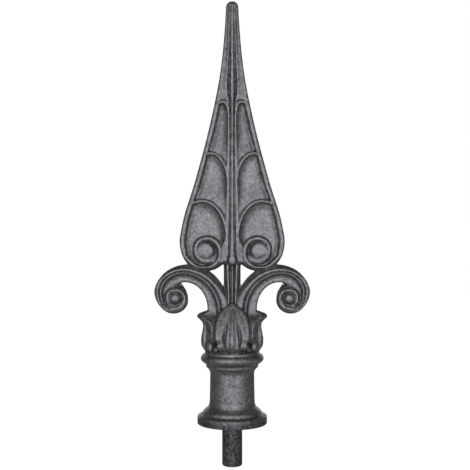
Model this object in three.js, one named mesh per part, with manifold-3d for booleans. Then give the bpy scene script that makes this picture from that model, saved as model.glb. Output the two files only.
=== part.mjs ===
// Fence spear finial: one grey-iron casting from a two-part sand mould.
// A round foot and column carry a calyx of four leaves. Two C-scrolls and a
// reeded stem spring from the calyx and hold a leaf-shaped spear blade, whose
// two faces have the same relief. The spigot below the foot is cast on.
// The mould parts at y = 0, so the back (+Y) repeats the front (-Y).

import * as THREE from 'three';
import { mergeVertices } from 'three/addons/utils/BufferGeometryUtils.js';
import Module from 'manifold-3d';

const wasm = await Module();
wasm.setup();

// Driving dimensions, in millimetres. The origin is on the axis at the
// shoulder, the underside of the foot, where the finial sits on its post.
const spigot = { radius: 7.94, length: 33.6, chamfer: 0.8 };
const foot = { radius: 27.5, top: 6, edge: 0.6, shelf: 22.8, shelfTop: 10.3 };
const ovolo = { radius: 17.9, height: 11.4, size: 3.4 };
const column = { lowRadius: 17.7, highRadius: 17.3, low: 15.8, high: 40 };
const collar = { radius: 24.8, height: 51.7, bead: 3.2, waist: 21.2, fillet: 20.5 };
const core = { radius: 17, narrow: 12, low: 58, high: 88, top: 93 };
const blade = { low: 125.2, shoulder: 325, tip: 329.5, rimCrest: 2.4, rimSlope: 2.2 };
const volute = { x: 20.6, z: 135.6, floor: 3.8, ridge: 7, boss: 5.6, bossTop: 7.4 };
const scroll = { x: 44.5, z: 99, bead: 6.8, rim: 10.2, boss: 4.2 };
const stem = { low: 80, high: 130, halfWidth: 6.5, side: 3 };
const nib = { z: 128.9, halfWidth: 2.8, halfHeight: 3.4, out: 7.9 };

// Each arch of the blade is a quarter ellipse that leaves the rib upright at
// ribX and turns level at its crown; past the crown it falls slowly to the rim.
const arches = [
  { crownX: 7.2, crownZ: 251.6, ribX: 2.3, drop: 12.6, outReach: 9 },
  { crownX: 17.1, crownZ: 211.8, ribX: 3.3, drop: 23.6, outReach: 14 },
  { crownX: 22.95, crownZ: 174.7, ribX: 4.4, drop: 28.3, outReach: 23.6 },
];
const archBead = 0.8;
const hollow = { width: 6.3, step: 1.2, climb: 16, nextStep: 0.6 };
// How far from the parting plane the cutters for the hollows reach.
const cutterReach = 14;

// A smooth curve through [place, value] pairs, level past both ends.
function through(pairs) {
  const places = pairs.map((pair) => pair[0]);
  const values = pairs.map((pair) => pair[1]);
  const curve = new THREE.CubicInterpolant(places, values, 1);
  return (place) => curve.evaluate(place)[0];
}

// Heights are measured from the parting plane, so they are half thicknesses.
const bladeHalfWidth = through([
  [123, 33.2], [131.9, 38.7], [141.3, 40.95], [155.5, 39.1], [190.9, 28.7],
  [238, 16.4], [273.4, 9.4], [308.7, 5.7], [325, 4.75],
]);
const ribHeight = through([[125, 9], [141, 9.2], [190, 8.2], [238, 6.8], [285, 5.4], [325, 4.5]]);
const rimHeight = through([[125, 6], [190, 5.6], [238, 5], [285, 4.2], [325, 3.4]]);
const floorHeight = through([[125, 3.8], [190, 3.4], [238, 3]]);
const grooveX = through([[125, 2.3], [152, 1.9], [200, 1.5], [240, 1.5], [262, 2.6], [280, 2], [325, 1.6]]);
const grooveWidth = through([[125, 0.7], [240, 0.7], [256, 1.3], [280, 1], [325, 0.6]]);
const grooveDepth = through([[125, 1.4], [240, 1.4], [258, 2.4], [285, 1.7], [325, 1]]);
const bayInnerX = through([[125, 6.6], [136, 5.6], [146, 5.2], [180, 4.6], [190, 4], [215, 3.6], [240, 3.1]]);

// A closed solid between two grids of points that share their outline.
// front(row, column) and back(row, column) each return a Vector3.
function slab(rows, columns, front, back) {
  const positions = [];
  for (const side of [front, back]) {
    for (let row = 0; row <= rows; row += 1) {
      for (let column = 0; column <= columns; column += 1) {
        positions.push(...side(row, column).toArray());
      }
    }
  }
  const faces = [];
  const place = (side, row, column) => (side * (rows + 1) + row) * (columns + 1) + column;
  const quad = (a, b, c, d) => faces.push(a, b, c, a, c, d);
  for (let row = 0; row < rows; row += 1) {
    for (let column = 0; column < columns; column += 1) {
      const [r, c] = [row + 1, column + 1];
      quad(place(0, row, column), place(0, row, c), place(0, r, c), place(0, r, column));
      quad(place(1, row, column), place(1, r, column), place(1, r, c), place(1, row, c));
    }
    const r = row + 1;
    quad(place(0, row, 0), place(0, r, 0), place(1, r, 0), place(1, row, 0));
    quad(place(0, row, columns), place(1, row, columns), place(1, r, columns), place(0, r, columns));
  }
  for (let column = 0; column < columns; column += 1) {
    const c = column + 1;
    quad(place(0, 0, column), place(1, 0, column), place(1, 0, c), place(0, 0, c));
    quad(place(0, rows, column), place(0, rows, c), place(1, rows, c), place(1, rows, column));
  }
  const geometry = new THREE.BufferGeometry();
  geometry.setAttribute('position', new THREE.Float32BufferAttribute(positions, 3));
  geometry.setIndex(faces);
  return geometry;
}

// Six times the volume that the triangles enclose; negative when inside out.
function signedVolume(positions, corners) {
  const [a, b, c] = [new THREE.Vector3(), new THREE.Vector3(), new THREE.Vector3()];
  let sum = 0;
  for (let i = 0; i < corners.length; i += 3) {
    a.fromArray(positions, corners[i] * 3);
    b.fromArray(positions, corners[i + 1] * 3);
    c.fromArray(positions, corners[i + 2] * 3);
    sum += a.dot(b.cross(c));
  }
  return sum;
}

// A geometry as a solid that can be joined and cut: shared corners merged,
// collapsed triangles dropped, faces turned outward.
function solid(geometry) {
  const bare = geometry.clone();
  bare.deleteAttribute('normal');
  bare.deleteAttribute('uv');
  const merged = mergeVertices(bare, 1e-4);
  const positions = merged.attributes.position.array;
  let corners = [];
  for (let i = 0; i < merged.index.count; i += 3) {
    const [a, b, c] = merged.index.array.slice(i, i + 3);
    if (a !== b && b !== c && c !== a) corners.push(a, b, c);
  }
  if (signedVolume(positions, corners) < 0) corners = corners.reverse();
  return new wasm.Manifold(new wasm.Mesh({
    numProp: 3,
    vertProperties: new Float32Array(positions),
    triVerts: new Uint32Array(corners),
  }));
}

// The same shape on the left as on the right.
function pair(geometry) {
  return [geometry, geometry.clone().scale(-1, 1, 1)];
}

// The same shape in all four quarters: left and right, front and back.
function quartet(geometry) {
  return pair(geometry).flatMap((half) => [half, half.clone().scale(1, -1, 1)]);
}

// A turned solid about the Z axis from [radius, height] pairs.
function turned(outline, segments) {
  const points = outline.map(([radius, height]) => new THREE.Vector2(radius, height));
  return new THREE.LatheGeometry(points, segments).rotateX(Math.PI / 2);
}

// A turned solid about a line along Y through (x, z), alike on both faces.
function roundBoss(x, z, outline, segments) {
  const back = outline.map(([radius, height]) => [radius, -height]).reverse();
  const points = [...outline, ...back].map(([radius, height]) => new THREE.Vector2(radius, height));
  return new THREE.LatheGeometry(points, segments).translate(x, 0, z);
}

// A point at y, at an angle in degrees and a radius about a centre's x and z.
// 0 degrees points to +X and 90 degrees up.
function around(centre, degrees, radius, y) {
  const angle = THREE.MathUtils.degToRad(degrees);
  return new THREE.Vector3(centre.x + radius * Math.cos(angle), y, centre.z + radius * Math.sin(angle));
}

// Points on an arc of a turned outline, angles in degrees.
function arc(centreRadius, centreHeight, size, from, to, steps) {
  const points = [];
  for (let i = 0; i <= steps; i += 1) {
    const angle = THREE.MathUtils.degToRad(THREE.MathUtils.lerp(from, to, i / steps));
    points.push([centreRadius + size * Math.cos(angle), centreHeight + size * Math.sin(angle)]);
  }
  return points;
}

// Spigot, foot, column, collar and the core that the leaves clothe.
function turnedBody() {
  return turned([
    [0, -spigot.length],
    [spigot.radius - spigot.chamfer, -spigot.length],
    [spigot.radius, -spigot.length + spigot.chamfer],
    [spigot.radius, 0],
    [foot.radius - foot.edge, 0],
    [foot.radius, foot.edge],
    [foot.radius, foot.top],
    [foot.radius - 1, foot.top + 1],
    [foot.shelf, foot.shelfTop - 0.7],
    [foot.shelf - 1, foot.shelfTop],
    ...arc(ovolo.radius, ovolo.height, ovolo.size, 5, 75, 2),
    [column.lowRadius, column.low],
    [column.highRadius, column.high],
    [column.highRadius + 1.2, column.high + 3.3],
    [collar.fillet, collar.height - 7],
    [collar.fillet, collar.height - 5],
    ...arc(collar.radius - collar.bead, collar.height, collar.bead, -60, 60, 4),
    [collar.waist, collar.height + 3.6],
    [collar.waist, collar.height + 5.1],
    [core.radius, core.low],
    [core.radius, core.low + 11],
    [core.narrow, core.high],
    [core.narrow - 4, core.top],
    [0, core.top],
  ], 24);
}

// Height of the blade's faces where nothing is cut: a low gable that falls
// from the ribs to the rim.
function gable(x, z) {
  const inner = grooveX(z) + grooveWidth(z);
  const outer = bladeHalfWidth(z) - blade.rimCrest;
  const along = THREE.MathUtils.clamp((x - inner) / (outer - inner), 0, 1);
  return THREE.MathUtils.lerp(ribHeight(z), rimHeight(z), along);
}

// The solid blade: rows up the blade, each row running from the left edge to
// the right over rim, gable, groove and centre rib. The tip rounds over.
function bladeBody() {
  const levels = [
    blade.low, 131.9, 136.6, 141.3, 148, 156, 167, 180, 194,
    210, 226, 240, 252, 262, 273, 288, 306, blade.shoulder,
  ];
  const tipSteps = 3;
  for (let i = 1; i <= tipSteps; i += 1) {
    const turn = (i / tipSteps) * THREE.MathUtils.degToRad(82);
    levels.push(blade.shoulder + (blade.tip - blade.shoulder) * Math.sin(turn));
  }
  const halfRow = (z) => {
    const width = bladeHalfWidth(z);
    const centre = grooveX(z);
    const half = grooveWidth(z);
    return [
      [0, ribHeight(z)],
      [centre - half, ribHeight(z) - 0.1],
      [centre, ribHeight(z) - grooveDepth(z)],
      [centre + half, gable(centre + half, z)],
      [width - blade.rimCrest, rimHeight(z)],
      [width - blade.rimCrest / 3, rimHeight(z) - 0.6],
      [width, rimHeight(z) - 2],
    ];
  };
  const rows = levels.map((z) => {
    const over = Math.max(0, z - blade.shoulder) / (blade.tip - blade.shoulder);
    const shrink = Math.sqrt(Math.max(0, 1 - over * over));
    const right = halfRow(z).map(([x, height]) => [x * shrink, height * shrink]);
    const left = right.slice(1).reverse().map(([x, height]) => [-x, height]);
    return [...left, ...right].map(([x, height]) => new THREE.Vector3(x, height, z));
  });
  const front = (row, column) => rows[row][column].clone().setY(-rows[row][column].y);
  const back = (row, column) => rows[row][column];
  return slab(levels.length - 1, rows[0].length - 1, front, back);
}

// The x of an arch at a height, on its rib side or its rim side, with the
// ellipse grown by a margin.
function archSideX(arch, z, margin, ribSide) {
  const base = arch.crownZ - arch.drop;
  const rise = THREE.MathUtils.clamp((z - base) / (arch.drop + margin), 0, 1);
  const reach = ribSide ? arch.ribX - arch.crownX - margin : arch.outReach + margin;
  return arch.crownX + reach * Math.sqrt(1 - rise * rise);
}

// The height of an arch above a given x, with the ellipse grown by a margin.
function archTopZ(arch, x, margin) {
  const reach = x < arch.crownX ? arch.crownX - arch.ribX : arch.outReach;
  const along = THREE.MathUtils.clamp((x - arch.crownX) / (reach + margin), -1, 1);
  return arch.crownZ - arch.drop + (arch.drop + margin) * Math.sqrt(1 - along * along);
}

// One bay: the hollow under an arch, between the rib and the rim, down to
// the next arch or, in the last bay, to the volute.
function bayHollow(index) {
  const arch = arches[index];
  const next = arches[index + 1];
  const top = arch.crownZ - archBead;
  const leftX = (z) => Math.max(bayInnerX(z), archSideX(arch, z, -archBead, true));
  const rightX = (z) => {
    const rimInner = bladeHalfWidth(z) - blade.rimCrest - 0.2;
    return Math.max(leftX(z), Math.min(rimInner, archSideX(arch, z, -archBead, false)));
  };
  const acrossX = (z, u) => THREE.MathUtils.lerp(leftX(z), rightX(z), u);
  const bottomZ = (u) => {
    if (!next) return volute.z - 4;
    let [low, high] = [next.crownZ - next.drop, next.crownZ + 2];
    for (let i = 0; i < 30; i += 1) {
      const middle = (low + high) / 2;
      if (middle < archTopZ(next, acrossX(middle, u), archBead)) low = middle;
      else high = middle;
    }
    return low;
  };
  // Deepest in the middle, with a cove beside the rib and under the arch and
  // a slope up to the rim. The floor falls away from the next arch.
  const depth = (u, x, z) => {
    const width = rightX(z) - leftX(z);
    const side = Math.min(1, (x - leftX(z)) / Math.min(hollow.width, width * 0.6 + 0.01));
    const crown = Math.min(1, (top - z) / hollow.width);
    const rim = Math.min(1, (rightX(z) - x) / blade.rimSlope);
    const cove = Math.sqrt(1 - (1 - side) ** 2) * Math.sqrt(1 - (1 - crown) ** 2) * rim;
    const full = gable(x, z) - floorHeight(z);
    const climb = next ? Math.min(1, (z - bottomZ(u)) / hollow.climb) : 1;
    return cove * THREE.MathUtils.lerp(Math.min(hollow.step, full), full, climb);
  };
  const across = [0, 0.12, 0.35, 0.84, 1];
  const up = index === 0 ? [0, 0.15, 0.55, 0.9, 1] : [0, 0.09, 0.4, 0.68, 0.88, 0.97, 1];
  const onEdge = (row, column) => (
    row === 0 || row === up.length - 1 || column === 0 || column === across.length - 1
  );
  const spot = (row, column) => {
    const u = across[column];
    const z = THREE.MathUtils.lerp(bottomZ(u), top, up[row]);
    return new THREE.Vector3(acrossX(z, u), 0, z);
  };
  const floor = (row, column) => {
    const point = spot(row, column);
    const face = gable(point.x, point.z);
    let cut = onEdge(row, column) ? 0 : depth(across[column], point.x, point.z);
    if (row === 0) cut = next ? hollow.nextStep : face - volute.floor;
    return point.setY(cut - face);
  };
  const lid = (row, column) => spot(row, column).setY(-cutterReach);
  return slab(up.length - 1, across.length - 1, floor, lid);
}

// The round lobe at the foot of the blade: a disc whose radius follows the
// angle. Its rings are shares of that radius with their heights.
function lobe() {
  const segments = 20;
  const outline = through([
    [-180, 15], [-150, 16.8], [-126, 16.1], [-90, 15.5], [-28, 17.6],
    [-12, 18.5], [3, 19], [30, 17], [180, 15],
  ]);
  const rings = [[1, 3.2], [0.87, 6.2], [0, 6.2]];
  const at = (segment, ring, face) => {
    const degrees = (segment / segments) * 360 - 180;
    const [share, height] = rings[ring];
    return around(volute, degrees, outline(degrees) * share, face * height);
  };
  return slab(segments, rings.length - 1, (s, r) => at(s, r, -1), (s, r) => at(s, r, 1));
}

// The bowl of the volute and the channel beside it, cut from the front, with
// a wall that slopes in to its floor.
function bowl() {
  const segments = 16;
  const wall = 1.4;
  const outline = through([
    [-180, 11], [-135, 11.5], [-90, 12.2], [-30, 13.6], [0, 15.4], [40, 13], [90, 11.5], [180, 11],
  ]);
  const at = (segment, ring, height) => {
    const degrees = (segment / segments) * 360 - 180;
    const radius = [outline(degrees), outline(degrees) - wall, 0][ring];
    return around(volute, degrees, radius, -height);
  };
  const floor = (segment, ring) => at(segment, ring, ring === 0 ? volute.ridge + 0.4 : volute.floor);
  return slab(segments, 2, floor, (segment, ring) => at(segment, ring, cutterReach));
}

// The rim of the blade runs on as a raised spiral, once and a quarter round
// the volute. It starts at the bottom and turns by the rib side to the top.
function spiralRidge() {
  const steps = 18;
  const bottom = 270;
  const foot = 3.4;
  const middle = through([[0, 13.1], [90, 11.1], [180, 10.1], [270, 8.2], [360, 7.8], [450, 8.6]]);
  const section = [[-1.3, foot], [-0.6, volute.ridge], [0.6, volute.ridge], [1.3, foot]];
  const at = (step, side, face) => {
    const swept = (step / steps) * 450;
    const ending = Math.max(0, (swept - 390) / 60);
    const [offset, height] = section[side];
    const radius = middle(swept) + offset * (1 - 0.5 * ending);
    return around(volute, bottom - swept, radius, face * THREE.MathUtils.lerp(height, foot, ending));
  };
  return slab(steps, section.length - 1, (r, c) => at(r, c, -1), (r, c) => at(r, c, 1));
}

// The arm of a C-scroll: a band that springs from the calyx, rises over the
// eye and curls down and under it. Its face has two beads with a groove
// between, then a hollow and a flat inner band.
function scrollArm() {
  const steps = 20;
  const outer = through([
    [-25, 47.3], [0, 41.2], [27, 36], [54, 30.8], [85, 25.2],
    [120, 20.6], [160, 17.4], [200, 14.2], [250, 12.8], [300, 11.6], [345, 10.5],
  ]);
  const inner = through([
    [-25, 27.5], [0, 23.6], [27, 19.4], [54, 15.1], [66, 13.2], [75, 11.2],
    [86, 9.5], [120, 9], [160, 8.2], [200, 7.8], [345, 6],
  ]);
  const section = [[0, 2.6], [0.27, 7.3], [0.39, 6], [0.5, 7.3], [0.64, 4], [1, 3.4]];
  const at = (step, column, face) => {
    const degrees = THREE.MathUtils.lerp(-25, 345, step / steps);
    const [across, height] = section[column];
    const radius = THREE.MathUtils.lerp(outer(degrees), inner(degrees), across);
    return around(scroll, 180 - degrees, radius, face * height);
  };
  return slab(steps, section.length - 1, (r, c) => at(r, c, -1), (r, c) => at(r, c, 1));
}

// The eye of a C-scroll: a sloping rim, a ring bead and a domed boss.
function scrollEye() {
  return roundBoss(scroll.x, scroll.z, [
    [0, -8.6],
    [scroll.boss * 0.6, -7.9],
    [scroll.bead - 1.7, -5.2],
    [scroll.bead - 0.7, -6.9],
    [scroll.bead + 0.8, -6.8],
    [scroll.rim, -2.6],
  ], 16);
}

// The reeded stem between the calyx and the blade.
function reededStem() {
  const levels = [stem.low, 98, 112, 124, stem.high];
  const spread = through([[stem.low, 0.75], [98, 0.76], [112, 0.9], [125, 1]]);
  const section = [[0, 6.9], [1.9, 6], [3.5, 7.9], [4.6, 7.3]];
  const rows = levels.map((z) => {
    const right = section.map(([x, height]) => [x * spread(z), height]);
    right.push([stem.halfWidth, stem.side]);
    const left = right.slice(1).reverse().map(([x, height]) => [-x, height]);
    return [...left, ...right].map(([x, height]) => new THREE.Vector3(x, height, z));
  });
  const front = (row, column) => rows[row][column].clone().setY(-rows[row][column].y);
  return slab(levels.length - 1, rows[0].length - 1, front, (row, column) => rows[row][column]);
}

// The small bead that ends the centre rib, on both faces.
function nibs() {
  const front = new THREE.SphereGeometry(1, 8, 6);
  front.scale(nib.halfWidth, nib.halfWidth, nib.halfHeight).translate(0, -nib.out, nib.z);
  return [front, front.clone().scale(1, -1, 1)];
}

// A leaf of the calyx that faces -Y, then turned about Z. Each row is level.
// Its reeds are [place across from 0 to 1, share of the way from margin to
// middle, depth of the groove there], alike on both sides of the middle.
function leaf(levels, shape, turn) {
  const left = shape.reeds.map(([u, share, groove]) => [-u, share, groove]).reverse();
  const columns = [...left, [0, 1, 0], ...shape.reeds];
  const insideCore = -6;
  const front = (row, column) => {
    const z = levels[row];
    const [u, share, groove] = columns[column];
    const out = THREE.MathUtils.lerp(shape.margin(z), shape.middle(z), share) - groove * shape.relief(z);
    return new THREE.Vector3(u * shape.half(z), -out, z);
  };
  const back = (row, column) => front(row, column).setY(insideCore);
  return slab(levels.length - 1, columns.length - 1, front, back).rotateZ(turn);
}

// The bud-like leaves of the front and back, which close over the stem's foot.
function budLeaf(turn) {
  return leaf([57, 61, 65, 68, 73, 79, 84, 88.5, 92, 94.3], {
    reeds: [
      [0.13, 0.99, 0.8], [0.26, 0.97, 0], [0.42, 0.88, 1.6],
      [0.62, 0.75, 0], [0.92, 0.46, 0], [1, 0, 0],
    ],
    half: through([
      [57, 10.2], [61, 11], [64.5, 11.2], [68, 12.9], [73, 13.3],
      [81, 12.6], [85, 11.3], [89, 8.6], [92, 5], [94.3, 0.6],
    ]),
    middle: through([
      [57, 20.3], [59, 21.6], [61.3, 23.7], [65, 24.4], [73, 23.4],
      [80, 20.6], [86, 16.8], [91, 12.6], [94.3, 9.6],
    ]),
    margin: through([
      [57, 14.5], [61, 17.5], [65, 17.8], [73, 17.3], [80, 14.8], [86, 11.8], [91, 10.2], [94.3, 9.2],
    ]),
    relief: through([[57, 1], [78, 1], [86, 0.7], [92, 0.2], [94.3, 0]]),
  }, turn);
}

// The side leaves, which flare to a beak under the scrolls.
function flaredLeaf(turn) {
  return leaf([57, 60.5, 65, 71, 77, 80, 82.2, 83.8, 85.2, 86.8, 89.4], {
    reeds: [[0.26, 0.85, 0], [0.42, 0.72, 1.4], [0.62, 0.55, 0], [1, 0, 0]],
    half: through([
      [57, 10.2], [61, 11], [64.5, 11.4], [68, 13], [73, 13.6], [78, 13.2],
      [81, 11.4], [83.4, 8.6], [85, 6.6], [87, 5], [89.4, 4],
    ]),
    middle: through([
      [57, 21.3], [58.8, 22.5], [61.1, 23.9], [65.9, 24.5], [73, 23.5], [77, 22.95],
      [80, 23.8], [82.4, 26.1], [83.9, 27.6], [85, 27.6], [86.3, 26.8], [87.6, 24.4], [89.4, 19.4],
    ]),
    margin: through([
      [57, 15], [60.5, 17.7], [63.5, 17.3], [66, 15.9], [68, 16.4], [73, 16.4],
      [78, 16.9], [81, 18.6], [83.4, 22], [85, 24.6], [87, 22], [89.4, 17],
    ]),
    relief: through([[57, 1], [76, 1], [82, 0.3], [86, 0]]),
  }, turn);
}

// Joins everything and cuts the bays and bowls into both faces.
function casting() {
  const bladeSolid = [bladeBody(), ...pair(lobe())].map(solid).reduce((a, b) => a.add(b));
  const hollows = arches.flatMap((arch, index) => quartet(bayHollow(index)));
  const cutters = [...hollows, ...quartet(bowl())].map(solid);
  const carved = cutters.reduce((body, cutter) => body.subtract(cutter), bladeSolid);
  const boss = roundBoss(volute.x, volute.z, [
    [0, -volute.bossTop],
    [volute.boss * 0.5, -volute.bossTop + 0.5],
    [volute.boss * 0.85, -volute.bossTop + 1.7],
    [volute.boss, -volute.floor + 0.4],
  ], 12);
  const joined = [
    turnedBody(),
    ...pair(spiralRidge()),
    ...pair(boss),
    ...pair(scrollArm()),
    ...pair(scrollEye()),
    reededStem(),
    ...nibs(),
    budLeaf(0),
    budLeaf(Math.PI),
    flaredLeaf(Math.PI / 2),
    flaredLeaf(-Math.PI / 2),
  ];
  return joined.map(solid).reduce((body, piece) => body.add(piece), carved);
}

// The casting as one mesh.
function castMesh(body) {
  const mesh = body.getMesh();
  const geometry = new THREE.BufferGeometry();
  geometry.setAttribute('position', new THREE.BufferAttribute(mesh.vertProperties, 3));
  geometry.setIndex(new THREE.BufferAttribute(mesh.triVerts, 1));
  geometry.computeVertexNormals();
  const iron = new THREE.MeshStandardMaterial({ color: 0x5c5d61, roughness: 0.55, metalness: 0.6 });
  return new THREE.Mesh(geometry, iron);
}

const finial = new THREE.Group();
const castingMesh = castMesh(casting());
castingMesh.name = 'spear_finial_casting';
finial.add(castingMesh);

export default finial;
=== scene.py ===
# Fence spear finial: one grey-iron casting, seen from the front as it would stand on a post.
# The casting's surfaces are worked out in millimetres as closed shells, fused into one skin and
# softened as sand does. The mould parts at y = 0, so every front surface is repeated at the back.

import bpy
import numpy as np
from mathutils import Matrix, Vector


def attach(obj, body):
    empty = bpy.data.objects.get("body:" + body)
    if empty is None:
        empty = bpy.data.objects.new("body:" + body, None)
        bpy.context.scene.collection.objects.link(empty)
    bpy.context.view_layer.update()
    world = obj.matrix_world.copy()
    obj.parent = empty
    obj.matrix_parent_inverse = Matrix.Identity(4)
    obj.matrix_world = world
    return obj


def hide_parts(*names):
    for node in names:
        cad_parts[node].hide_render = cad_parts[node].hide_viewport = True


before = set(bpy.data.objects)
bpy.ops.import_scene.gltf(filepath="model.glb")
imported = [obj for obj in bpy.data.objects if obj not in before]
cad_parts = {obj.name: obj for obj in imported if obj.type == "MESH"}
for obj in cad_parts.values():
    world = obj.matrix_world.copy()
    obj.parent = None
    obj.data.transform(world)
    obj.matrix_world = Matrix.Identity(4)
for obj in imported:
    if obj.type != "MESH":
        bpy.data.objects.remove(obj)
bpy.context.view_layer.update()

# SPIGOT, FOOT, COLUMN AND COLLAR
# The turned lower part of the casting: a plain spigot for the post, a round foot, a short column
# and a collar. The core above it is what the leaves of the calyx lie on.

SPIGOT = dict(radius=7.94, end=-33.6, chamfer=0.8)
FOOT = dict(radius=27.4, low=0.0, top=6.0, shelf=22.8)
COLUMN = dict(low_radius=17.7, high_radius=17.3, low=18.5, high=40.0)
COLLAR = dict(radius=24.8, height=51.7, bead=3.3, fillet=21.5)
CORE = dict(radius=15.8, narrow=11.5, low=57.0, high=88.0, top=93.0)
CAST_CORNER = 0.25


def arc(centre_radius, centre_height, size, first, last, steps=10):
    """Points (radius, height) on a round moulding, from one angle in degrees to another."""
    turn = np.radians(np.linspace(first, last, steps))
    return np.column_stack([centre_radius + size * np.cos(turn), centre_height + size * np.sin(turn)])


def softened(outline, step=0.25, corner=CAST_CORNER):
    """The outline resampled every step and averaged over a bell of the corner's width."""
    lengths = np.concatenate([[0], np.cumsum(np.hypot(*np.diff(outline, axis=0).T))])
    places = np.linspace(0, lengths[-1], int(lengths[-1] / step) + 1)
    points = np.column_stack([np.interp(places, lengths, outline[:, axis]) for axis in (0, 1)])
    reach = int(np.ceil(3 * corner / step))
    bell = np.exp(-0.5 * (np.arange(-reach, reach + 1) * step / corner) ** 2)
    bell = bell / bell.sum()
    padded = np.pad(points, ((reach, reach), (0, 0)), mode="reflect", reflect_type="odd")
    return np.column_stack([np.convolve(padded[:, axis], bell, mode="valid") for axis in (0, 1)])


def grid_faces(rows, columns, start=0, flip=False):
    """The four-cornered faces between neighbours on a grid of points that is stored row by row."""
    first = start + np.arange(rows - 1)[:, None] * columns + np.arange(columns - 1)[None, :]
    corners = [first, first + 1, first + columns + 1, first + columns]
    faces = np.stack(corners[::-1] if flip else corners, axis=-1)
    return faces.reshape(-1, 4)


def turned(outline, segments=180):
    """The surface of revolution (r cos t, r sin t, h) of an outline that starts and ends on the
    axis."""
    turn = np.linspace(0, 2 * np.pi, segments + 1)
    radius, height = outline[:, 0][:, None], outline[:, 1][:, None]
    points = np.stack([radius * np.cos(turn), radius * np.sin(turn), height + 0 * turn], axis=-1)
    return points.reshape(-1, 3), grid_faces(len(outline), segments + 1, flip=True)


lower_outline = np.vstack([
    # The spigot and the upright face of the foot.
    [[0, SPIGOT["end"]], [SPIGOT["radius"] - SPIGOT["chamfer"], SPIGOT["end"]]],
    [[SPIGOT["radius"], SPIGOT["end"] + SPIGOT["chamfer"]], [SPIGOT["radius"], FOOT["low"]]],
    [[FOOT["radius"], FOOT["low"]], [FOOT["radius"], FOOT["top"]]],
    # The foot's slope and shelf, the flare that runs up into the column, and the column.
    [[26.9, 6.5], [24.2, 7.6], [23.4, 8.1], [23.1, 9.7], [FOOT["shelf"], 10.2]],
    [[20.6, 12.0], [19.1, 13.2], [18.4, 14.2], [18.0, 15.6], [COLUMN["low_radius"] + 0.1, 17.0]],
    [[COLUMN["low_radius"], COLUMN["low"]], [COLUMN["high_radius"], COLUMN["high"]]],
    # The cove under the collar, the collar's bead, and the fillet over it.
    [[17.7, 41.6], [18.7, 43.3], [20.1, 44.6], [20.5, 44.8], [20.5, 46.6], [20.9, 47.2]],
    arc(COLLAR["radius"] - COLLAR["bead"], COLLAR["height"], COLLAR["bead"], -55, 58),
    [[COLLAR["fillet"], 55.0], [COLLAR["fillet"], 56.8], [20.4, 57.4]],
    # The core, which ends inside the leaves.
    [[CORE["radius"], CORE["low"] + 1], [CORE["radius"], CORE["low"] + 12]],
    [[CORE["narrow"], CORE["high"]], [CORE["narrow"] - 3, CORE["top"]], [0, CORE["top"]]],
])
shells = [turned(softened(lower_outline))]


# CALYX
# Four leaves cast on the core: bud-like ones on the front and back, which close over the foot of
# the stem, and flared ones on the sides, whose tips turn out under the scrolls. Round feet stand
# at the bottom of their outer lobes, and the flared leaves have a beaded rim.


def through(*knots):
    """A smooth curve through (place, value) knots: cubics whose slopes at each knot are the
    mean slope about it. Past both ends it stays level."""
    places, values = np.array(knots, float).T
    slopes = np.gradient(values, places)

    def curve(place):
        place = np.clip(place, places[0], places[-1])
        i = np.clip(np.searchsorted(places, place, side="right") - 1, 0, len(places) - 2)
        span = places[i + 1] - places[i]
        t = (place - places[i]) / span
        ends = (2 * t**3 - 3 * t**2 + 1) * values[i] + (3 * t**2 - 2 * t**3) * values[i + 1]
        return ends + span * ((t**3 - 2 * t**2 + t) * slopes[i] + (t**3 - t**2) * slopes[i + 1])

    return curve


def ease(t):
    """0 below 0, 1 above 1, and an S between."""
    t = np.clip(t, 0, 1)
    return t * t * (3 - 2 * t)


def ridge(t, width):
    """1 on a line, falling to 0 on both sides of it as a bell of the width."""
    return np.exp(-0.5 * (t / width) ** 2)


def slab(front, back):
    """A closed shell between two grids of points: both grids and four strips that join their rims."""
    rows, columns = front.shape[:2]
    count = rows * columns
    points = np.concatenate([front.reshape(-1, 3), back.reshape(-1, 3)])
    index = np.arange(count).reshape(rows, columns)
    rim = np.concatenate([index[0, :-1], index[:-1, -1], index[-1, :0:-1], index[::-1, 0]])
    after = np.roll(rim, -1)
    strips = np.stack([rim, rim + count, after + count, after], axis=-1)
    strips = strips[rim != after]
    grids = [grid_faces(rows, columns), grid_faces(rows, columns, count, flip=True)]
    return points, np.concatenate(grids + [strips])


# The grooves between the reeds of a leaf, by height: how far each runs from the leaf's middle, and
# the depth and width of the deep ones.
REEDS = dict(
    shallow=through([60, 2.2], [68, 2.0], [76, 1.55], [83, 1.2], [91, 0.9]),
    deep=through([60, 5.3], [64, 5.5], [70, 5.5], [76, 4.6], [83, 3.8], [90, 3]),
    deep_cut=through([57, 1.0], [62, 1.8], [66, 3.0], [70, 3.6], [76, 2.6], [83, 0.9], [89, 0]),
    deep_width=through([60, 0.9], [64, 1.2], [67, 2.0], [70, 2.9], [76, 2.7], [83, 1.6]),
    line=through([64, 9.8], [76, 10.4], [83, 9.0], [90, 5.6]),
)
# The outer lobes: where they start beside the middle, and the heights of their notch and foot.
LOBES = dict(start=6.2, notch=66.7, foot=63.6, heel=61.4)
LEAF = dict(slice=0.3, columns=161, back_slope=0.85, root=6.0)


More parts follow.
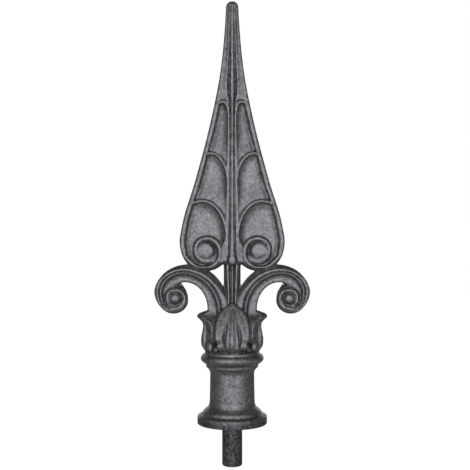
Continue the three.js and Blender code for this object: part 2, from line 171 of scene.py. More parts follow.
def leaf(low, top, half, middle, margin, behind, section, turn):
    """A leaf on the -Y side in level slices, turned about Z. Across a slice u runs from -1 to 1 and
    the face stands out by margin + (middle - margin) section(|u|), less the grooves of its reeds:
    shallow ones beside the centre reed, deep ones, steeper on their inner side, that part off the
    outer lobes, and a faint line inside the rim. The lobes narrow to a foot under a notch. The
    back of the leaf slopes in from its rim, at behind(z), to its root in the core."""
    z = np.linspace(low, top, int((top - low) / LEAF["slice"]))[:, None]
    u = np.linspace(-1, 1, LEAF["columns"])[None, :]
    x = u * half(z)
    off = np.abs(x)
    out = margin(z) + (middle(z) - margin(z)) * section(np.abs(u))
    out = out - ease((94.5 - z) / 4) * ridge(off - REEDS["shallow"](z), 0.42)
    beyond = (off - REEDS["deep"](z)) / REEDS["deep_width"](z)
    rise = np.where(beyond < 0, -2.4 * beyond, beyond)
    out = out - REEDS["deep_cut"](z) * np.clip(1 - rise, 0, 1)
    line_cut = 0.22 * ease((91 - z) / 4) * ease((z - 66) / 3)
    out = out - line_cut * ridge(off - REEDS["line"](z), 0.6)
    notch = 0.7 * ridge(z - LOBES["notch"], 0.55)
    foot = 0.5 * ridge(z - LOBES["foot"], 1.7)
    heel = 1.6 * ease((LOBES["heel"] - z) / 1.5)
    out = out - ease((off - LOBES["start"]) / 0.9) * (notch - foot + heel)
    solid = ease((0.75 - np.abs(u)) / 0.35)
    inside = (behind(z) - LEAF["back_slope"] * (half(z) - off)) * (1 - solid) + LEAF["root"] * solid
    front = np.stack([x, -out, z + 0 * u], axis=-1)
    back = np.stack([x, -inside, z + 0 * u], axis=-1)
    spin = np.array([[np.cos(turn), np.sin(turn), 0], [-np.sin(turn), np.cos(turn), 0], [0, 0, 1]])
    return slab(front @ spin, back @ spin)


bud = dict(
    low=57.0,
    top=95.2,
    half=through(
        [57, 10.2], [61, 11], [64.5, 11.4], [68, 13.6], [73, 14.1], [77, 14],
        [81, 13.3], [85, 11.9], [89, 9.3], [92, 6], [95.2, 0.8],
    ),
    middle=through(
        [57, 20], [59, 21.4], [61.3, 23.2], [65, 23.8], [73, 22.8], [80, 20.2], [86, 17],
        [91, 13.6], [95.2, 10.6],
    ),
    margin=through(
        [57, 14.5], [61, 17], [65, 17.3], [73, 16.8], [80, 14.8], [86, 12.4], [91, 10.6], [95.2, 9.6],
    ),
    behind=through([57, 6], [95, 6]),
    section=through(
        [0, 1], [0.3, 0.97], [0.5, 0.86], [0.65, 0.78], [0.8, 0.68], [0.93, 0.52], [0.97, 0.34], [1, 0],
    ),
)
flared = dict(
    low=57.0,
    top=89.4,
    half=through(
        [57, 10.2], [61, 11], [64.5, 11.4], [68, 13], [73, 13.6], [78, 13.2],
        [81, 11.4], [83.4, 8.6], [85, 6.6], [87, 5], [89.4, 4],
    ),
    middle=through(
        [57, 21.3], [58.8, 22.5], [61.1, 23.9], [65.9, 24.5], [73, 23.5], [77, 22.95], [80, 23.8],
        [82.4, 26.1], [83.9, 27.6], [85, 27.6], [86.3, 26.8], [87.6, 24.4], [89.4, 19.4],
    ),
    margin=through(
        [57, 15], [60.5, 17.7], [63.5, 17.3], [66, 15.9], [68, 16.4], [73, 16.4],
        [78, 16.9], [81, 18.6], [83.4, 22], [85, 24.6], [87, 22], [89.4, 17],
    ),
    behind=through([57, 7], [59.5, 12.2], [66, 12.2], [68.5, 7], [89, 6]),
    section=through([0, 1], [0.15, 0.97], [0.5, 0.66], [0.8, 0.28], [1, 0]),
)
shells += [leaf(turn=0, **bud), leaf(turn=np.pi, **bud)]
shells += [leaf(turn=np.pi / 2, **flared), leaf(turn=-np.pi / 2, **flared)]


def tube(path, size, sides=12):
    """A round bead along a path: at each point a circle across the path, in the plane of Y and of
    the path's normal in XZ. The circles close to points at both ends."""
    along = np.gradient(path, axis=0)
    flat = np.stack([along[:, 2], 0 * along[:, 0], -along[:, 0]], axis=-1)
    flat /= np.linalg.norm(flat, axis=1, keepdims=True)
    turn = np.linspace(0, 2 * np.pi, sides + 1)[None, :, None]
    radius = np.full(len(path), size)
    radius[[0, -1]] = 0
    circle = flat[:, None] * np.cos(turn) + np.array([0, 1, 0]) * np.sin(turn)
    points = path[:, None] + radius[:, None, None] * circle
    return points.reshape(-1, 3), grid_faces(len(path), sides + 1)


def ball(centre, radii, levels=25, sides=37):
    """An ellipsoid from its latitude and longitude."""
    up = np.linspace(-np.pi / 2, np.pi / 2, levels)[:, None]
    turn = np.linspace(0, 2 * np.pi, sides)[None, :]
    unit = [np.cos(up) * np.cos(turn), np.cos(up) * np.sin(turn), np.sin(up) + 0 * turn]
    points = np.array(centre) + np.stack(unit, axis=-1) * np.array(radii)
    return points.reshape(-1, 3), grid_faces(levels, sides)


QUARTERS = [(1, 1), (1, -1), (-1, 1), (-1, -1)]
RIM_BEAD = dict(low=72.0, high=85.2, points=34, inset=0.8, size=0.95)
# The place and the radii of the feet: under the bud's lobes and under the flared leaf's.
LEAF_FEET = [((9.1, 20.6, 63.6), (2.9, 1.9, 3.1)), ((16.9, 12.4, 61.6), (2.5, 2.4, 4.0))]

rim_heights = np.linspace(RIM_BEAD["low"], RIM_BEAD["high"], RIM_BEAD["points"])
for side_x, side_y in QUARTERS:
    rim_x = side_x * (flared["margin"](rim_heights) - RIM_BEAD["inset"])
    rim_y = side_y * flared["half"](rim_heights)
    shells += [tube(np.column_stack([rim_x, rim_y, rim_heights]), RIM_BEAD["size"])]
for side_x, side_y in QUARTERS:
    for (foot_x, foot_y, foot_z), radii in LEAF_FEET:
        shells += [ball((foot_x * side_x, foot_y * side_y, foot_z), radii)]


# C-SCROLLS
# A band springs from each side of the calyx, rises over its eye and curls down and under it. Its
# face has two beads with a groove between, a hollow and a flat inner band. The eye is a boss in
# a ring.

SCROLL = dict(x=44.5, z=99.0, first=-25.0, last=345.0, root=24.0, plain=215.0)
RING = dict(top=7.0, half=1.05, joins=352.0, fades=560.0, outside=7.6, least=0.8)
# The lines of the band by the angle turned, from its outer edge to its inner edge, and the place
# of each across the band.
band_lines = [
    through(
        [-25, 47.3], [0, 41.2], [27, 36], [54, 30.8], [85, 25.2], [120, 20.6], [160, 17.4],
        [200, 14.2], [250, 12.8], [300, 11.6], [345, 10.5],
    ),
    through(
        [-25, 42], [0, 36.6], [45, 27.3], [90, 21.6], [135, 17.3], [180, 13.4], [225, 12],
        [270, 10.9], [345, 9.6],
    ),
    through(
        [-25, 39], [0, 34.1], [45, 25.8], [90, 20.2], [135, 15.7], [180, 12], [225, 10.9],
        [270, 10.1], [345, 8.8],
    ),
    through(
        [-25, 37.2], [0, 32.3], [45, 24.4], [90, 18.8], [135, 13.8], [180, 10.3], [225, 9.8],
        [270, 9.3], [345, 8],
    ),
    through(
        [-25, 34.6], [0, 30], [45, 21.9], [90, 16.8], [135, 12], [180, 9.2], [225, 8.7],
        [270, 8.2], [345, 7.2],
    ),
    through(
        [-25, 27.5], [0, 23.6], [27, 19.4], [54, 15.1], [66, 13.2], [75, 11.2], [86, 9.5],
        [120, 9], [160, 8.2], [200, 7.8], [345, 6],
    ),
]
BAND_PLACES = [0.0, 0.28, 0.39, 0.5, 0.66, 1.0]
band_face = through(
    [0, 2.4], [0.08, 3.9], [0.16, 5.6], [0.21, 6.9], [0.25, 7.35], [0.31, 7.4], [0.35, 6.9],
    [0.37, 6.0], [0.39, 5.3], [0.41, 6.0], [0.435, 7.1], [0.47, 7.6], [0.51, 7.55], [0.55, 6.8],
    [0.6, 5.5], [0.66, 4.5], [0.72, 4.0], [0.8, 3.8], [0.9, 3.8], [0.96, 3.5], [1, 2.6],
)
plain_face = through([0, 2.4], [0.2, 5.0], [0.4, 6.6], [0.6, 7.1], [0.8, 7.2], [1, 7.1])
ring_line = through(
    [270, 9.6], [315, 8.6], [360, 7.5], [405, 7.1], [450, 6.4], [495, 6.6], [540, 6.2], [585, 6.5],
    [630, 7],
)
eye_edge = through(
    [270, 12.2], [315, 11], [360, 9.9], [392, 10.1], [413, 10.9], [430, 12.3], [450, 12.3],
    [540, 10], [630, 9.6],
)
boss_face = through([0, 8.7], [1.6, 8.55], [2.8, 8.0], [3.7, 6.9], [4.4, 5.3], [5, 4.6])


def mirrored(shell, axis):
    """The same shell on the other side of the plane through the origin, its faces turned to suit."""
    points, faces = shell
    sign = np.ones(3)
    sign[axis] = -1
    return points * sign, faces[:, ::-1]


def both_faces(x, z, height):
    """A shell whose front is at y = -height over a grid of (x, z) and whose back repeats it."""
    return slab(np.stack([x, -height, z], axis=-1), np.stack([x, height, z], axis=-1))


def about_eye(radius, turn):
    """X and Z of a place about the eye: turn runs in degrees from the inward side over the top."""
    x = SCROLL["x"] - radius * np.cos(np.radians(turn))
    z = SCROLL["z"] + radius * np.sin(np.radians(turn))
    return x, z


def scroll_arm():
    """The band in polar form about the eye. Its columns follow the lines of its beads and hollows
    round the curl: each radius is mixed from the two nearest lines. The height is the band's face,
    fuller on its outer side at the root, which gives way to a plain round under the eye."""
    turn = np.linspace(SCROLL["first"], SCROLL["last"], 420)[:, None]
    across = np.linspace(0, 1, 72)
    radius = sum(
        line(turn) * np.interp(across, BAND_PLACES, share)
        for line, share in zip(band_lines, np.eye(len(BAND_PLACES)))
    )
    curled = ease((turn - SCROLL["plain"]) / 50)
    height = band_face(across) * (1 - curled) + plain_face(across) * curled
    height = height + 2.3 * ease((SCROLL["root"] - turn) / 22) * ridge(across - 0.1, 0.07)
    return both_faces(*about_eye(radius, turn), height)


def round_eye():
    """The eye as a polar grid: a domed boss in a moat, and round it the end of the band, a bead
    on the ring's line, which fades as it closes on itself. Outside it is a slope, steep where the
    band covers it."""
    turn = np.linspace(270, 630, 181)[:, None]
    share = np.linspace(0, 1, 60)[None, :]
    radius = share * eye_edge(turn)
    off = radius - ring_line(turn)
    under = ease((RING["joins"] - turn) / 14)
    crest = RING["top"] - 0.6 * under
    bead = crest - 0.45 * (off / RING["half"]) ** 2 - 2.5 * ease((turn - RING["fades"]) / 70)
    slope = 1.4 + 3 * under
    inside = np.maximum(bead, boss_face(radius))
    outside = np.minimum(bead, RING["outside"] - slope * off)
    height = np.maximum(np.where(off < 0, inside, outside), RING["least"])
    return both_faces(*about_eye(radius, turn), height)


for scroll_part in (scroll_arm(), round_eye()):
    shells += [scroll_part, mirrored(scroll_part, 0)]


# STEM AND NIB
# A stem of three reeds stands between the scrolls, and a small bead, the nib, closes it where the
# blade's centre rib begins.

STEM = dict(low=80.0, high=130.0, half=6.6, hollow=123.4, end=125.2)
NIB = dict(z=129.0, half=3.0, tall=3.9, out=8.3, deep=1.3)
stem_spread = through([80, 0.74], [98, 0.8], [112, 0.95], [125, 1.04])
stem_face = through(
    [0, 6.4], [0.4, 6.1], [1.1, 4.5], [1.5, 4.4], [2.2, 6.4], [2.6, 7.6],
    [3.2, 7.95], [3.9, 7.85], [4.3, 7.3], [5.0, 5.6], [5.8, 3.7], [6.6, 2.6],
)


def reeded_stem():
    """Level slices of the stem's face: height by the reeds' curve at x over their spread, less a
    hollow in the middle reed under the nib and a fall where the stem ends behind the blade."""
    z = np.linspace(STEM["low"], STEM["high"], 130)[:, None]
    x = np.linspace(-STEM["half"], STEM["half"], 61)[None, :]
    inside = np.minimum(np.abs(x) / stem_spread(z), STEM["half"])
    dip = 1.6 * ridge(z - STEM["hollow"], 2.4) * ridge(x, 1.6) + 3.0 * ease((z - STEM["end"]) / 1.2)
    return both_faces(x + 0 * z, z + 0 * x, stem_face(inside) - dip)


nib_ball = ball((0, -NIB["out"], NIB["z"]), (NIB["half"], NIB["deep"], NIB["tall"]))
shells += [reeded_stem(), nib_ball, mirrored(nib_ball, 1)]


# BLADE
# The spear blade: a centre rib between two grooves, side ribs, three arched bays a side with a
# hollow under each arch, a raised rim, and at the foot of each side a lobe with a spiral ridge
# round a boss. It is thickest at the centre low down and thins to its rounded tip.

BLADE = dict(low=125.2, shoulder=325.0, tip=329.5, edge=2.5, crown=0.2, slice=0.35)
RIM = dict(top=3.0, slope=2.7, drop=3.4, end=256.0, inset=1.9, gutter=5.3)
VOLUTE = dict(x=20.6, z=135.6, boss_x=21.0, boss_z=136.0, reach=19.0)
ARCHES = [
    dict(crown_x=7.2, crown_z=251.6, rib_x=2.3, drop=12.6, out=9.0),
    dict(crown_x=17.1, crown_z=211.8, rib_x=3.3, drop=23.6, out=14.0),
    dict(crown_x=22.95, crown_z=174.7, rib_x=4.4, drop=28.3, out=23.6),
]
HOLLOW = dict(width=7.5, bead=0.75, step=1.3, climb=17.0, groove=1.1)
# By height: half the blade's width, the heights of its rib, rim and lowest floor, the grooves
# beside the centre rib, and the inner edge of the bays.
blade_half = through(
    [123, 33.2], [131.9, 38.7], [141.3, 40.95], [155.5, 39.1], [190.9, 28.7],
    [238, 16.4], [273.4, 9.4], [308.7, 5.7], [325, 4.75],
)
rib_height = through([125, 9], [141, 9.2], [190, 8.2], [238, 6.8], [285, 5.4], [325, 4.5])
rim_height = through([125, 6], [190, 5.6], [238, 5], [285, 4.2], [325, 3.4])
floor_height = through([125, 3.8], [190, 3.4], [238, 3])
groove_x = through(
    [125, 3.2], [128.5, 3.6], [132.5, 2.6], [140, 2.2], [152, 1.95],
    [200, 1.6], [240, 1.5], [250, 1.65], [262, 2.6], [280, 2.1], [325, 1.6],
)
groove_half = through(
    [125, 1], [152, 0.95], [240, 0.85], [249, 0.9], [259, 1.5], [280, 1.2], [325, 0.8],
)
groove_depth = through([125, 2.4], [240, 2.2], [258, 3], [285, 2.2], [325, 1.3])
bay_inner = through(
    [125, 10], [134, 9.4], [139, 8.2], [144, 6], [150, 5.3], [180, 4.6], [190, 4.2], [215, 3.8],
    [240, 3.2],
)
# About the volute: the radius of the lobe by angle, of the ridge by the angle it has wound, and
# the face of the boss by radius.
lobe_radius = through(
    [-180, 15], [-150, 16.8], [-126, 16.1], [-90, 15.5], [-28, 17.6], [-12, 18.5], [3, 19.6],
    [30, 19], [180, 15],
)
ridge_line = through(
    [-90, 17.6], [-80, 16.8], [-61, 15], [-40, 14.3], [-18, 13.7], [0, 13.1], [45, 12],
    [90, 11.1], [135, 10.8], [180, 10.1], [225, 9.2], [270, 8], [315, 7.6], [360, 7.8],
    [400, 8.3], [425, 9], [450, 9.8],
)
bowl_face = through(
    [0, 7.1], [4.1, 6.9], [5.7, 6.4], [6.5, 5.6], [7.2, 4.6], [7.8, 3.7], [8.4, 3.0], [9.2, 2.6],
    [11, 2.6],
)


def cove(t):
    """A mix of a quarter round and a sine arch: upright at 0, then a slope, level from 1 on."""
    t = np.clip(t, 0, 1)
    return 0.45 * np.sqrt(1 - (1 - t) ** 2) + 0.55 * np.sin(t * np.pi / 2)


def ribs(x, z, width):
    """Two heights: a low gable that falls from the centre rib to the rim, and the same gable with
    a V groove beside the centre rib, a faint hollow over the last arch, and a fall beside the side
    ribs at the foot."""
    inner = groove_x(z) + groove_half(z)
    along = np.clip((x - inner) / (width - RIM["inset"] - inner), 0, 1)
    gable = rib_height(z) + (rim_height(z) - rib_height(z)) * along
    off_groove = np.abs(x - groove_x(z)) / groove_half(z)
    centre = np.where(x < groove_x(z), 1.0, 0.0)
    face = gable - groove_depth(z) * (1 - np.clip(off_groove, 0, 1))
    face = face + 0.25 * centre * np.clip(off_groove - 1, 0, 1)
    face = face - 1.3 * centre * ease((132.4 - z) / 0.9)
    middle = (x - 0.5 * (inner + width)) / (width - inner)
    face = face - 0.35 * ridge(middle, 0.3) * ease((z - 248) / 6)
    face = face - np.clip((x - 4.5) / 4, 0, 1) * ease((144 - z) / 5)
    return gable, face


def below_arch(arch, x, z):
    """Distance inside an arch's line, in mm: to the quarter ellipse above its springing, to first
    order, and to the rib below it. Negative outside."""
    foot = arch["crown_z"] - arch["drop"]
    reach = np.where(x < arch["crown_x"], arch["crown_x"] - arch["rib_x"], arch["out"])
    along, up = (x - arch["crown_x"]) / reach, np.maximum(z - foot, 0) / arch["drop"]
    size = np.hypot(along, up) + 1e-6
    slope = np.hypot(along / reach, up / arch["drop"]) / size + 1e-6
    to_arch = np.clip((1 - size) / slope, -20, 20)
    to_rib = x - bay_inner(z) + HOLLOW["bead"]
    return np.where(z > foot, np.minimum(to_arch, np.maximum(to_rib, to_arch - 1.0)), to_rib)


def with_bays(face, gable, x, z, width, edge):
    """The face with its bays, from the top one down: under each arch a cove falls to a floor,
    which sinks as it nears the next arch's line and dips to a gutter along the rim. Each arch has
    a bead on its line and a fine groove outside it."""
    depths = [below_arch(arch, x, z) for arch in ARCHES] + [np.full_like(x, -60.0)]
    room = np.maximum(width - RIM["top"] - bay_inner(z), 1.0)
    for arch, depth, next_depth in zip(ARCHES, depths, depths[1:]):
        foot = arch["crown_z"] - arch["drop"]
        over = ease((z - foot) / 5) * ease((x - bay_inner(z)) / 1.5)
        groove = HOLLOW["groove"] * over * ridge(depth + 1.5, 0.36)
        climb = ease(-next_depth / HOLLOW["climb"])
        step = np.minimum(HOLLOW["step"], gable - floor_height(z))
        floor = (gable - step) * (1 - climb) + floor_height(z) * climb
        wall = np.minimum(HOLLOW["width"], 0.62 * room)
        hollow = gable - (gable - floor) * cove((depth - 0.55) / wall)
        hollow = hollow - 1.1 * ridge(edge - RIM["gutter"], 1.3) * ease((depth - 0.8) / 1.5)
        face = np.where(depth > 0, hollow, face - groove)
        off = np.abs(depth + 0.1)
        bead = gable + 0.45 - 0.3 * (off / 0.9) ** 2 - 3.5 * ease((off - 0.85) / 0.9)
        face = np.where((off < 1.75) & (over > 0.02), np.maximum(face, bead), face)
    return face


def spiral_ridge(radius, angle):
    """Height of the ridge that leaves the rim, passes under the volute and winds in round it: a
    bead on the ridge's line, once for each turn of the spiral that passes the angle. It stands
    highest where it passes the ribs, and fades at its inner end."""
    height = np.zeros_like(radius)
    for turned_by in (-90 - angle, 270 - angle):
        off = np.abs(radius - ridge_line(turned_by))
        lip = ease((turned_by - 310) / 40)
        fade = ease((turned_by - 395) / 55)
        top = 6.0 + 1.0 * ease((turned_by + 90) / 80) - 0.6 * lip - 2.4 * fade
        top = top + 1.3 * ridge(turned_by - 80, 45)
        half = 1.25 + 0.3 * lip
        bead = top - 0.5 * (off / half) ** 2 - 3.6 * ease((off - half) / 1.7)
        on_line = (turned_by >= -85) & (turned_by <= 450)
        height = np.where(on_line, np.maximum(height, bead), height)
    return height


def rounded_off(face, x, z, edge, under):
    """The face cut down to a quarter round at the blade's edge, to a bevel where it is the lobe's
    underside, and to a slope over the stem at the foot."""
    size = BLADE["edge"]
    inward = np.clip(size - edge, 0, size)
    drop = size - np.sqrt(np.clip(size**2 - inward**2, 0, None))
    cap = np.where(edge < size, rim_height(z) + BLADE["crown"] - drop, 99.0)
    bevel = 3.4 + 1.55 * np.maximum(edge, 0)
    face = np.minimum(face, cap + 99 * (under > 0.5))
    face = np.minimum(face, bevel * under + 99 * (1 - under))
    sides = 8 * ease((2.6 - x) / 1.0) + 8 * ease((x - 7.5) / 3)
    foot_slope = 3.6 + 1.9 * (z - BLADE["low"]) + sides
    return np.minimum(face, np.maximum(foot_slope, 2.0))


def blade_relief(x, z):
    """Height of the blade's face over the parting plane at distance x from the axis: the ribs and
    the bays, then in the lobe the volute's boss, then the rim and the spiral ridge, all rounded
    off at the outline. The edge is measured square to the outline, and in the lobe from its own
    radius."""
    width = blade_half(z)
    slope = blade_half(z + 0.5) - blade_half(z - 0.5)
    edge = (width - x) / np.sqrt(1 + slope**2)
    gable, face = ribs(x, z, width)
    face = with_bays(face, gable, x, z, width, edge)

    across, up = x - VOLUTE["x"], z - VOLUTE["z"]
    radius, angle = np.hypot(across, up), np.degrees(np.arctan2(up, across))
    to_lobe = lobe_radius(angle) - radius
    kept = ease((angle + 150) / 9)
    edge = np.where(up < 0, 9 * (1 - kept) + np.minimum(to_lobe, 9) * kept, edge)
    under = np.where(up < 0, kept * ease((-2 - angle) / 22), 0)

    wound = np.where(angle < -90, -90 - angle, 270 - angle)
    bowl = bowl_face(np.hypot(x - VOLUTE["boss_x"], z - VOLUTE["boss_z"]))
    face = np.where(radius < ridge_line(wound), bowl, face)
    rim = rim_height(z) - RIM["drop"] * ease((edge - RIM["top"]) / RIM["slope"])
    face = np.maximum(face, np.where(z < RIM["end"], rim * (1 - under), 0))
    face = np.maximum(face, spiral_ridge(radius, angle))
    return rounded_off(face, x, z, edge, under)


def blade_body():
    """The blade in level slices from edge to edge, both faces by the relief. Past the shoulder the
    slices shrink to the tip by the quarter ellipse sqrt(1 - t^2)."""
    rise = BLADE["tip"] - BLADE["shoulder"]
    up = np.arange(BLADE["low"], BLADE["shoulder"], BLADE["slice"])
    turn = np.linspace(0, np.radians(86), 16)
    z = np.concatenate([up, BLADE["shoulder"] + rise * np.sin(turn)])[:, None]
    over = np.clip((z - BLADE["shoulder"]) / rise, 0, 1)
    shrink = np.sqrt(1 - over**2)
    even = np.linspace(-1, 1, 241)[None, :]
    u = np.sign(even) * (1 - (1 - np.abs(even)) ** 1.15)
    x = u * blade_half(z)
    height = blade_relief(np.abs(x), z + 0 * x)
    return both_faces(x * shrink, z + 0 * x, height * shrink)


def lobe():
    """The round foot of one side of the blade as a polar grid, with the same relief."""
    turn = np.radians(np.linspace(-180, 180, 241))[:, None]
    edge = np.minimum(lobe_radius(np.degrees(turn)), VOLUTE["reach"])
    out = np.linspace(0, 1, 60)[None, :] * edge
    x = VOLUTE["x"] + out * np.cos(turn)
    z = VOLUTE["z"] + out * np.sin(turn)
    return both_faces(x, z, blade_relief(x, z))


lobe_shell = lobe()
shells += [blade_body(), lobe_shell, mirrored(lobe_shell, 0)]


# THE CASTING
# All of it is poured at once, so the shells are fused into one skin. Sand leaves no sharp corner:
# the skin is smoothed a little, which also fillets the places where one form meets another.

MILLIMETRE = 0.001
FUSING = dict(voxel=0.00038, smoothing=2, triangles=190000)
# How often each measure of depth is averaged: the first finds grooves, the second whole hollows.
DEPTHS = dict(hollow=14, shade=90)


def evaluated(piece):
    """The piece's mesh with its modifiers worked in."""
    shown = piece.evaluated_get(bpy.context.evaluated_depsgraph_get())
    mesh = bpy.data.meshes.new_from_object(shown)
    piece.modifiers.clear()
    return mesh


def mark_depth(mesh, name, passes):
    """How far each point lies under (+) or over (-) the mean of the surface round it, in mm, as an
    attribute: the mean is found by averaging each point with its neighbours several times."""
    count = len(mesh.vertices)
    points = np.empty(count * 3)
    normals = np.empty(count * 3)
    mesh.vertices.foreach_get("co", points)
    mesh.vertices.foreach_get("normal", normals)
    points, normals = points.reshape(-1, 3), normals.reshape(-1, 3)
    edges = np.empty(len(mesh.edges) * 2, int)
    mesh.edges.foreach_get("vertices", edges)
    a, b = edges.reshape(-1, 2).T
    degree = np.bincount(np.concatenate([a, b]), minlength=count)[:, None]
    mean = points.copy()
    for _ in range(passes):
        total = np.zeros_like(mean)
        for axis in range(3):
            place = mean[:, axis]
            total[:, axis] = np.bincount(a, place[b], count) + np.bincount(b, place[a], count)
        mean = 0.5 * mean + 0.5 * total / degree
    depth = ((mean - points) * normals).sum(axis=1) / MILLIMETRE
    layer = mesh.attributes.new(name, "FLOAT", "POINT")
    layer.data.foreach_set("value", depth.astype(np.float32))


def casting():
    """One mesh: the shells joined, fused on a fine lattice, smoothed, its depths marked, and
    thinned where it is flat."""
    starts = np.cumsum([0] + [len(points) for points, _ in shells[:-1]])
    points = np.concatenate([points for points, _ in shells]) * MILLIMETRE
    faces = np.concatenate([faces + start for (_, faces), start in zip(shells, starts)])
    mesh = bpy.data.meshes.new("spear finial")
    mesh.from_pydata(points, [], faces)
    piece = bpy.data.objects.new("spear_finial", mesh)
    bpy.context.collection.objects.link(piece)
    fuse = piece.modifiers.new("fuse", "REMESH")
    fuse.mode = "VOXEL"
    fuse.voxel_size = FUSING["voxel"]
    soften = piece.modifiers.new("soften", "SMOOTH")
    soften.factor = 0.5
    soften.iterations = FUSING["smoothing"]
    piece.data = evaluated(piece)
    for name, passes in DEPTHS.items():
        mark_depth(piece.data, name, passes)
    piece.data.calc_loop_triangles()
    thin = piece.modifiers.new("thin", "DECIMATE")
    thin.ratio = min(1.0, FUSING["triangles"] / len(piece.data.loop_triangles))
    piece.data = evaluated(piece)
    piece.data.polygons.foreach_set("use_smooth", np.ones(len(piece.data.polygons), bool))
    return piece


finial = casting()
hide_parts("spear_finial_casting")
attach(finial, "root")


# CAST IRON
# Bare grey iron with the fine grain that moulding sand leaves. Painted shade darkens the grooves,
# the hollows and the part towards the bottom, and painted highlights lighten the crests.

DARK_IRON = (0.035, 0.036, 0.04, 1)
LIGHT_IRON = (0.3, 0.302, 0.315, 1)
METALLIC = 0.9
GRAIN_DEPTH = 0.00036


class Level:
    """A number that varies over the surface, as one output of a shader node. Arithmetic on it adds
    Math nodes."""

    def __init__(self, tree, output):
        self.tree, self.output = tree, output

    def math(self, operation, first, second):
        return make(self.tree, "ShaderNodeMath", {"operation": operation}, {0: first, 1: second})

    def __add__(self, other):
        return self.math("ADD", self, other)

    def __sub__(self, other):
        return self.math("SUBTRACT", self, other)

    def __rsub__(self, other):
        return self.math("SUBTRACT", other, self)

    def __mul__(self, other):
        return self.math("MULTIPLY", self, other)

    __radd__, __rmul__ = __add__, __mul__


def make(tree, kind, settings, sockets, output=0):
    """A shader node of a kind, its settings first, then the values or links of its sockets."""
    node = tree.nodes.new(kind)
    for name, value in settings.items():
        if name == "stops":
            for stop, (place, colour) in zip(node.color_ramp.elements, value):
                stop.position, stop.color = place, colour
        else:
            setattr(node, name, value)
    for name, value in sockets.items():
        if isinstance(value, Level):
            tree.links.new(value.output, node.inputs[name])
        else:
            node.inputs[name].default_value = value
    return Level(tree, node.outputs[output])


def noise(tree, place, scale, detail, roughness):
    """Cloudy noise about 0.5, with so many cells to the metre."""
    sockets = {"Vector": place, "Scale": scale, "Detail": detail, "Roughness": roughness}
    return make(tree, "ShaderNodeTexNoise", {}, sockets)


def between(tree, level, start, end):
    """0 where a level is at its start, 1 at its end, and an S between."""
    sockets = {"Value": level, "From Min": start, "From Max": end, "To Min": 0.0, "To Max": 1.0}
    return make(tree, "ShaderNodeMapRange", {"interpolation_type": "SMOOTHSTEP"}, sockets)


def grey_iron():
    """Dark to light iron by grain and blotches, with painted shade in the grooves and hollows by the
    two depths and towards the bottom by the height over the foot, and painted highlights on the crests.
    The grooves are rougher and the crests smoother. The bump is the grain alone."""
    material = bpy.data.materials.new("sand-cast grey iron")
    material.use_nodes = True
    tree = material.node_tree
    shader = tree.nodes["Principled BSDF"]
    place = make(tree, "ShaderNodeTexCoord", {}, {}, "Object")
    height = make(tree, "ShaderNodeSeparateXYZ", {}, {"Vector": place}, "Z")
    hollow = make(tree, "ShaderNodeAttribute", {"attribute_name": "hollow"}, {}, "Fac")
    shade = make(tree, "ShaderNodeAttribute", {"attribute_name": "shade"}, {}, "Fac")
    grain = noise(tree, place, 620.0, 3.0, 0.65)
    blotch = noise(tree, place, 170.0, 4.0, 0.65)
    coarse = noise(tree, place, 330.0, 3.0, 0.6)
    # Painted shade: grooves, found by the hollow depth, are darkened in the base colour; the same mask
    # also makes them rougher.
    groove_shade_and_roughness = between(tree, hollow, 0.02, 0.45)
    # Painted highlight: crests, found by the hollow depth, are lightened in the base colour; the same
    # mask also makes them smoother.
    crest_highlight_and_gloss = between(tree, hollow, -0.05, -0.4)
    # Painted shade: whole hollows, found by the shade depth, are darkened in the base colour.
    deep = between(tree, shade, 0.3, 1.8)
    # Painted shade: the base colour darkens towards the bottom, over the foot and the spigot.
    low = between(tree, height, 0.009, 0.002)
    tone = 0.465 + (grain - 0.5) * 1.2 + (blotch - 0.5) * 0.4 + (coarse - 0.5) * 0.4
    # The painted highlight and the painted shades are added to the tone here.
    tone = tone + crest_highlight_and_gloss * 0.34 - groove_shade_and_roughness * 0.4 - deep * 0.4 - low * 0.25
    stops = [(0.1, DARK_IRON), (0.95, LIGHT_IRON)]
    colour = make(tree, "ShaderNodeValToRGB", {"stops": stops}, {"Fac": tone})
    rough = 0.5 + (grain - 0.5) * 0.3 + groove_shade_and_roughness * 0.12 - crest_highlight_and_gloss * 0.08
    relief = grain * 0.55 + coarse * 0.7 + blotch * 0.5
    bump = make(tree, "ShaderNodeBump", {}, {"Height": relief, "Strength": 1.0, "Distance": GRAIN_DEPTH})
    tree.links.new(colour.output, shader.inputs["Base Color"])
    tree.links.new(rough.output, shader.inputs["Roughness"])
    tree.links.new(bump.output, shader.inputs["Normal"])
    shader.inputs["Metallic"].default_value = METALLIC
    return material


finial.data.materials.append(grey_iron())


# STUDIO
# A pale floor that the spigot's end touches, and a broad soft light from the camera's side, so
# that what faces the camera is light and what turns away is dark, as in the photograph.

EYE = Vector((0.0, -0.843, 0.183))
AIM = Vector((0.0022, 0.0, 0.1482))
LENS = 82.6
FLOOR = SPIGOT["end"] * MILLIMETRE
FLOOR_HALF = 6.0
BACKDROP = 1.0
AMBIENT = 0.085
MIDDLE = (0.0, 0.0, 0.16)


def soft_light(name, place, target, size, power):
    """A wide area light that looks at a target and isn't seen itself."""
    lamp = bpy.data.lights.new(name, "AREA")
    lamp.shape, lamp.energy = "RECTANGLE", power
    lamp.size, lamp.size_y = size
    light = bpy.data.objects.new(name, lamp)
    light.visible_camera = False
    light.location = place
    light.rotation_euler = (Vector(target) - Vector(place)).to_track_quat("-Z", "Y").to_euler()
    bpy.context.collection.objects.link(light)


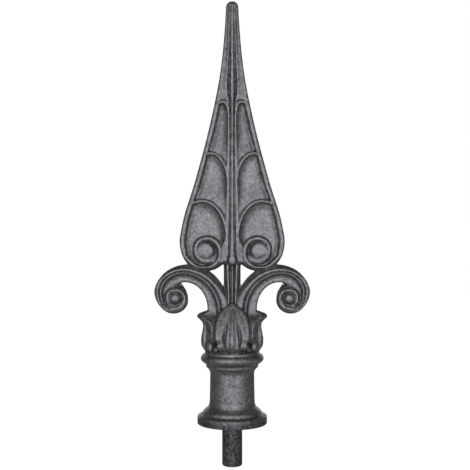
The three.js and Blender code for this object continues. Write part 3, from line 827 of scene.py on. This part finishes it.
def pale_floor():
    """A wide square under the object. To the camera it is as bright as the backdrop, with only a
    trace of shadow; to the object it is a plain pale floor that doesn't glow."""
    mesh = bpy.data.meshes.new("floor")
    corners = [(-1, -1), (1, -1), (1, 1), (-1, 1)]
    mesh.from_pydata([(x * FLOOR_HALF, y * FLOOR_HALF, FLOOR) for x, y in corners], [], [(0, 1, 2, 3)])
    floor = bpy.data.objects.new("floor", mesh)
    bpy.context.collection.objects.link(floor)
    material = bpy.data.materials.new("pale floor")
    material.use_nodes = True
    tree = material.node_tree
    lit = tree.nodes["Principled BSDF"]
    lit.inputs["Base Color"].default_value = (0.1, 0.1, 0.1, 1)
    lit.inputs["Roughness"].default_value = 1.0
    lit.inputs["Specular IOR Level"].default_value = 0.0
    lit.inputs["Emission Color"].default_value = (1, 1, 1, 1)
    lit.inputs["Emission Strength"].default_value = BACKDROP
    plain = make(tree, "ShaderNodeBsdfDiffuse", {}, {"Color": (0.75, 0.75, 0.75, 1)})
    seen = make(tree, "ShaderNodeLightPath", {}, {}, "Is Camera Ray")
    glowing = Level(tree, lit.outputs["BSDF"])
    both = make(tree, "ShaderNodeMixShader", {}, {0: seen, 1: plain, 2: glowing})
    tree.links.new(both.output, tree.nodes["Material Output"].inputs["Surface"])
    mesh.materials.append(material)


pale_floor()
soft_light("key", place=(0.0, -1.2, 0.1), target=(0.0, 0.0, 0.1), size=(3.0, 0.7), power=29)
soft_light("top", place=(0.0, -0.8, 0.95), target=MIDDLE, size=(1.8, 0.6), power=5.5)
soft_light("back", place=(0.0, 1.4, 0.12), target=MIDDLE, size=(2.0, 0.7), power=10)

world = bpy.data.worlds.new("studio")
bpy.context.scene.world = world
world.use_nodes = True
sky = world.node_tree
background = sky.nodes["Background"]
seen = make(sky, "ShaderNodeLightPath", {}, {}, "Is Camera Ray")
sky.links.new((seen * (BACKDROP - AMBIENT) + AMBIENT).output, background.inputs["Strength"])
background.inputs["Color"].default_value = (1, 1, 1, 1)
bpy.context.scene.view_settings.view_transform = "Standard"

camera = bpy.data.objects.new("camera", bpy.data.cameras.new("camera"))
camera.data.lens = LENS
camera.data.sensor_width = 36
camera.location = EYE
camera.rotation_euler = (AIM - EYE).to_track_quat("-Z", "Y").to_euler()
bpy.context.collection.objects.link(camera)
bpy.context.scene.camera = camera
